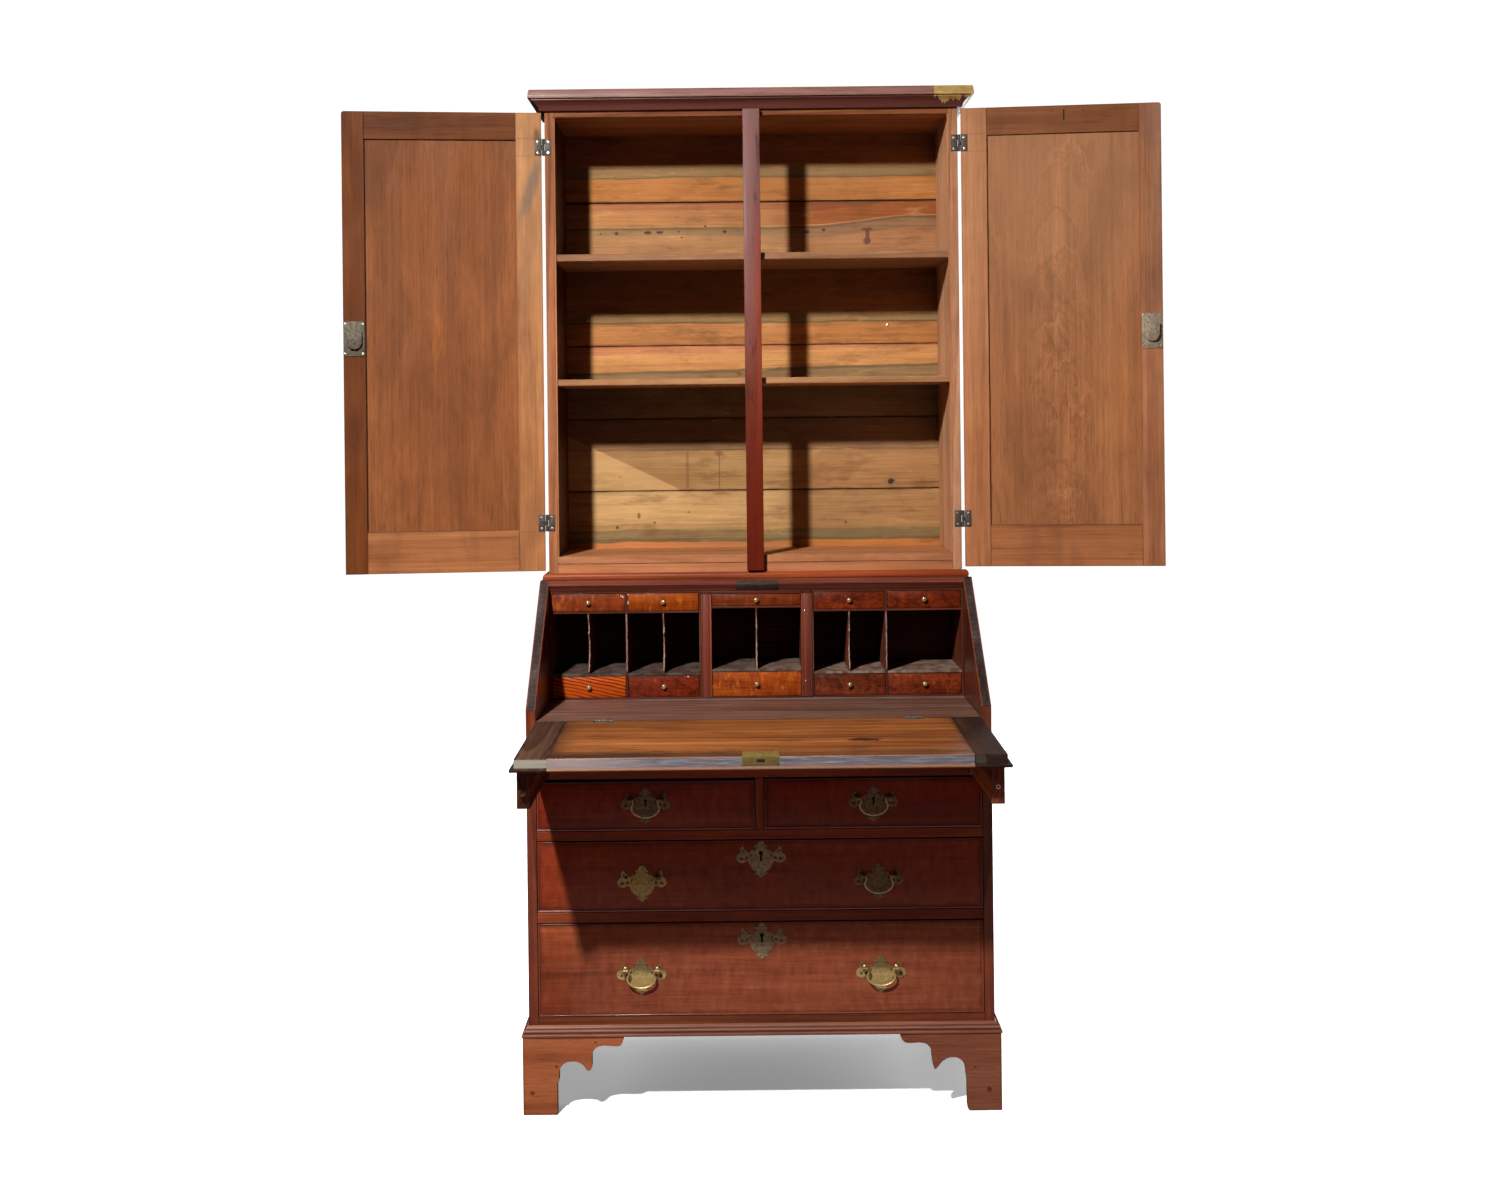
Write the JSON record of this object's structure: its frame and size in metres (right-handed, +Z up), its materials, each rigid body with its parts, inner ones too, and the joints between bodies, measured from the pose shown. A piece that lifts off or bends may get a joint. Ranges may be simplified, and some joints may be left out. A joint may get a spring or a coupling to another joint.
{
  "type": "secretary bookcase",
  "caption": "Slant-front writing desk with drawers below and a panelled-door bookcase above; fall, lopers, doors, drawers and bails move.",
  "frame": {"origin": "on the floor, on the centre line, in the plane of the desk's drawer fronts", "axes": "+X to the right as seen from the front, +Y to the back, +Z up"},
  "size_m": [1.8302, 1.0054, 2.1765],
  "materials": {
    "mahogany_aged": "worn polish, red-brown",
    "mahogany_inner": "lighter, lightly polished",
    "mahogany_dark": "dark polish",
    "pine_back": "bare softwood with age bands",
    "brass_old": "tarnished",
    "iron_old": "rust-brown, worn"
  },
  "bodies": {
    "carcase": {"upper_case": "mahogany_inner", "upper_backboard": "pine_back", "shelf_lower": "mahogany_inner", "shelf_upper": "mahogany_inner", "centre_stile": "mahogany_dark", "cornice": "mahogany_dark", "waist_moulding": "mahogany_aged", "base_case": "mahogany_aged", "base_backboard": "pine_back", "writing_bed": "mahogany_aged", "drawer_frame": "mahogany_aged", "base_moulding": "mahogany_aged", "foot_front_left": "mahogany_aged", "foot_front_right": "mahogany_aged", "foot_rear_left": "mahogany_aged", "foot_rear_right": "mahogany_aged", "gallery_left": "mahogany_inner", "gallery_centre": "mahogany_inner", "gallery_right": "mahogany_inner", "hinge_left_lower_case_leaf": "iron_old", "hinge_left_upper_case_leaf": "iron_old", "hinge_right_lower_case_leaf": "iron_old", "hinge_right_upper_case_leaf": "iron_old", "fall_hinge_left_bed_leaf": "iron_old", "fall_hinge_right_bed_leaf": "iron_old"},
    "door_left": {"door_left_frame": "mahogany_inner", "door_left_panel": "mahogany_inner", "door_left_lock": "iron_old", "hinge_left_lower_door_leaf": "iron_old", "hinge_left_upper_door_leaf": "iron_old"},
    "door_right": {"door_right_frame": "mahogany_inner", "door_right_panel": "mahogany_inner", "door_right_lock": "iron_old", "hinge_right_lower_door_leaf": "iron_old", "hinge_right_upper_door_leaf": "iron_old"},
    "fall": {"fall_board": "mahogany_aged", "fall_lock": "brass_old", "fall_hinge_left_fall_leaf": "iron_old", "fall_hinge_right_fall_leaf": "iron_old"},
    "loper_left": {"loper_left": "mahogany_aged"},
    "loper_right": {"loper_right": "mahogany_aged"},
    "drawer_short_left": {"drawer_short_left": "mahogany_aged"},
    "drawer_short_right": {"drawer_short_right": "mahogany_aged"},
    "drawer_middle": {"drawer_middle": "mahogany_aged"},
    "drawer_bottom": {"drawer_bottom": "mahogany_aged"},
    "bail_short_left": {"bail_short_left": "brass_old"},
    "bail_short_right": {"bail_short_right": "brass_old"},
    "bail_middle_right": {"bail_middle_right": "brass_old"},
    "bail_bottom_left": {"bail_bottom_left": "brass_old"},
    "bail_bottom_right": {"bail_bottom_right": "brass_old"},
    "small_drawer_upper_far_left": {"small_drawer_upper_far_left": "mahogany_inner"},
    "small_drawer_upper_left": {"small_drawer_upper_left": "mahogany_inner"},
    "small_drawer_upper_centre": {"small_drawer_upper_centre": "mahogany_inner"},
    "small_drawer_upper_right": {"small_drawer_upper_right": "mahogany_inner"},
    "small_drawer_upper_far_right": {"small_drawer_upper_far_right": "mahogany_inner"},
    "small_drawer_lower_far_left": {"small_drawer_lower_far_left": "mahogany_inner"},
    "small_drawer_lower_left": {"small_drawer_lower_left": "mahogany_inner"},
    "small_drawer_lower_centre": {"small_drawer_lower_centre": "mahogany_inner"},
    "small_drawer_lower_right": {"small_drawer_lower_right": "mahogany_inner"},
    "small_drawer_lower_far_right": {"small_drawer_lower_far_right": "mahogany_inner"}
  },
  "joints": [
    {"name": "door_left_hinge", "type": "hinge", "parent": "carcase", "child": "door_left", "pos_m": [-0.4691, 0.32975, 1.6285], "axis": [0, 0, 1], "range_deg": [-5, 173.4]},
    {"name": "door_right_hinge", "type": "hinge", "parent": "carcase", "child": "door_right", "pos_m": [0.4691, 0.32975, 1.6285], "axis": [0, 0, -1], "range_deg": [-5, 173.4]},
    {"name": "fall_hinge", "type": "hinge", "parent": "carcase", "child": "fall", "pos_m": [0, 0, 0.811], "axis": [-1, 0, 0], "range_deg": [0, 142.02]},
    {"name": "loper_left_slide", "type": "slide", "parent": "carcase", "child": "loper_left", "axis": [0, 1, 0], "range_m": [0, 0.3235]},
    {"name": "loper_right_slide", "type": "slide", "parent": "carcase", "child": "loper_right", "axis": [0, 1, 0], "range_m": [0, 0.3235]},
    {"name": "drawer_short_left_slide", "type": "slide", "parent": "carcase", "child": "drawer_short_left", "axis": [0, 1, 0], "range_m": [-0.38, 0]},
    {"name": "drawer_short_right_slide", "type": "slide", "parent": "carcase", "child": "drawer_short_right", "axis": [0, 1, 0], "range_m": [-0.38, 0]},
    {"name": "drawer_middle_slide", "type": "slide", "parent": "carcase", "child": "drawer_middle", "axis": [0, 1, 0], "range_m": [-0.38, 0]},
    {"name": "drawer_bottom_slide", "type": "slide", "parent": "carcase", "child": "drawer_bottom", "axis": [0, 1, 0], "range_m": [-0.38, 0]},
    {"name": "small_drawer_upper_far_left_slide", "type": "slide", "parent": "carcase", "child": "small_drawer_upper_far_left", "axis": [0, 1, 0], "range_m": [-0.13, 0]},
    {"name": "small_drawer_upper_left_slide", "type": "slide", "parent": "carcase", "child": "small_drawer_upper_left", "axis": [0, 1, 0], "range_m": [-0.13, 0]},
    {"name": "small_drawer_upper_centre_slide", "type": "slide", "parent": "carcase", "child": "small_drawer_upper_centre", "axis": [0, 1, 0], "range_m": [-0.13, 0]},
    {"name": "small_drawer_upper_right_slide", "type": "slide", "parent": "carcase", "child": "small_drawer_upper_right", "axis": [0, 1, 0], "range_m": [-0.13, 0]},
    {"name": "small_drawer_upper_far_right_slide", "type": "slide", "parent": "carcase", "child": "small_drawer_upper_far_right", "axis": [0, 1, 0], "range_m": [-0.13, 0]},
    {"name": "small_drawer_lower_far_left_slide", "type": "slide", "parent": "carcase", "child": "small_drawer_lower_far_left", "axis": [0, 1, 0], "range_m": [-0.13, 0]},
    {"name": "small_drawer_lower_left_slide", "type": "slide", "parent": "carcase", "child": "small_drawer_lower_left", "axis": [0, 1, 0], "range_m": [-0.13, 0]},
    {"name": "small_drawer_lower_centre_slide", "type": "slide", "parent": "carcase", "child": "small_drawer_lower_centre", "axis": [0, 1, 0], "range_m": [-0.13, 0]},
    {"name": "small_drawer_lower_right_slide", "type": "slide", "parent": "carcase", "child": "small_drawer_lower_right", "axis": [0, 1, 0], "range_m": [-0.13, 0]},
    {"name": "small_drawer_lower_far_right_slide", "type": "slide", "parent": "carcase", "child": "small_drawer_lower_far_right", "axis": [0, 1, 0], "range_m": [-0.13, 0]},
    {"name": "bail_short_left_pivot", "type": "hinge", "parent": "drawer_short_left", "child": "bail_short_left", "pos_m": [-0.236, -0.0105, 0.647], "axis": [-1, 0, 0], "range_deg": [0, 85]},
    {"name": "bail_short_right_pivot", "type": "hinge", "parent": "drawer_short_right", "child": "bail_short_right", "pos_m": [0.236, -0.0105, 0.647], "axis": [-1, 0, 0], "range_deg": [0, 85]},
    {"name": "bail_middle_right_pivot", "type": "hinge", "parent": "drawer_middle", "child": "bail_middle_right", "pos_m": [0.245, -0.0105, 0.486], "axis": [-1, 0, 0], "range_deg": [0, 85]},
    {"name": "bail_bottom_left_pivot", "type": "hinge", "parent": "drawer_bottom", "child": "bail_bottom_left", "pos_m": [-0.248, -0.0105, 0.294], "axis": [-1, 0, 0], "range_deg": [0, 85]},
    {"name": "bail_bottom_right_pivot", "type": "hinge", "parent": "drawer_bottom", "child": "bail_bottom_right", "pos_m": [0.248, -0.0105, 0.294], "axis": [-1, 0, 0], "range_deg": [0, 85]}
  ]
}
